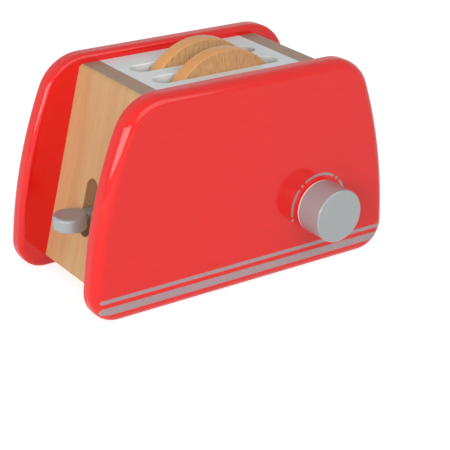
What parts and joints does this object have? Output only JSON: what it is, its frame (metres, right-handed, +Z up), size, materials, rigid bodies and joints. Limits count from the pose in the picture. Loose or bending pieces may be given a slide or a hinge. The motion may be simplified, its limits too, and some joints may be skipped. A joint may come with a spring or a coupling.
{
  "type": "toy toaster",
  "caption": "Wooden toy toaster: rounded side panels, slotted top with loose toast slices, side lever that raises the slices and a turning dial on the front.",
  "frame": {"origin": "on the ground, under the middle of the overall box, dial included", "axes": "+X along the toaster from the lever's end to the dial's end, +Y from the dial's side panel to the other one, +Z up"},
  "size_m": [0.2016, 0.1132, 0.13],
  "materials": {
    "red_lacquer": "satin",
    "beech": "satin",
    "white_paint": "satin",
    "silver_paint": "satin",
    "steel": "satin",
    "toast_wood": "matte"
  },
  "bodies": {
    "body": {"front_side_panel": "red_lacquer", "rear_side_panel": "red_lacquer", "lever_end_panel": "beech", "plain_end_panel": "beech", "top_panel": "white_paint", "base_panel": "beech", "front_base_cleat": "beech", "rear_base_cleat": "beech", "base_screws": "steel", "front_joint_dowels": "beech", "rear_joint_dowels": "beech", "lever_side_post": "beech", "dial_side_post": "beech"},
    "lift": {"lift_board": "beech", "lever": "silver_paint", "lever_screws": "steel"},
    "dial": {"dial_knob": "silver_paint", "dial_axle": "beech", "dial_washer": "steel", "dial_screw": "steel"},
    "front_toast": {"front_toast_slice": "toast_wood"},
    "rear_toast": {"rear_toast_slice": "toast_wood"}
  },
  "joints": [
    {"name": "lift_slide", "type": "slide", "parent": "body", "child": "lift", "axis": [0, 0, 1], "range_m": [0, 0.013]},
    {"name": "dial_turn", "type": "hinge", "parent": "body", "child": "dial", "pos_m": [0.0487, -0.03737, 0.03845], "axis": [0, 1, 0], "continuous": true},
    {"name": "front_toast_slide", "type": "slide", "parent": "lift", "child": "front_toast", "axis": [0, 0, 1], "range_m": [0, 0.09]},
    {"name": "rear_toast_slide", "type": "slide", "parent": "lift", "child": "rear_toast", "axis": [0, 0, 1], "range_m": [0, 0.09]}
  ]
}
